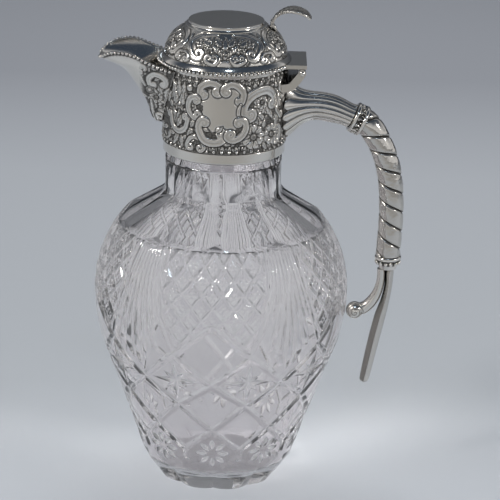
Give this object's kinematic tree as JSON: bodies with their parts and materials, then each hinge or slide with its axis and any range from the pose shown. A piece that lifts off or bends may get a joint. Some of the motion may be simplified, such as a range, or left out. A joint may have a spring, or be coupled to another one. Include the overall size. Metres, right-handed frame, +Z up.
{
  "type": "claret jug",
  "caption": "Claret jug: cut-glass body, silver collar with beaded spout, hinged domed lid with thumbpiece, reeded and twisted handle.",
  "frame": {"origin": "centre of the foot, on the jug's axis, on the resting face", "axes": "+Z up along the jug's axis, +X towards the handle (the spout points along -X), +Y along the lid's hinge pin"},
  "size_m": [0.1692, 0.14, 0.267],
  "materials": {
    "cut_glass": "polished cut lead crystal",
    "polished_silver": "polished silver with darkened recesses",
    "chased_silver": "chased silver, darkened in the ground",
    "plaster": "plaster cement",
    "pin_steel": "drawn silver wire"
  },
  "bodies": {
    "jug": {"glass_body": "cut_glass", "neck_cement": "plaster", "collar_base_band": "polished_silver", "collar_shell": "chased_silver", "collar_rim": "polished_silver", "spout": "chased_silver", "spout_beading": "polished_silver", "handle_arm": "polished_silver", "handle_upper_ring": "polished_silver", "handle_grip": "polished_silver", "handle_lower_ring": "polished_silver", "handle_scroll": "polished_silver", "handle_tail": "polished_silver", "hinge_bracket": "polished_silver", "hinge_pin": "pin_steel"},
    "lid": {"hinge_leaf": "polished_silver", "lid_flange": "polished_silver", "lid_beading": "polished_silver", "lid_bezel": "polished_silver", "lid_dome": "chased_silver", "lid_plate_moulding": "polished_silver", "lid_plate": "polished_silver", "thumbpiece": "polished_silver"}
  },
  "joints": [
    {"name": "lid_hinge", "type": "hinge", "parent": "jug", "child": "lid", "pos_m": [0.041, 0, 0.2351], "axis": [0, 1, 0], "range_deg": [0, 105]}
  ]
}
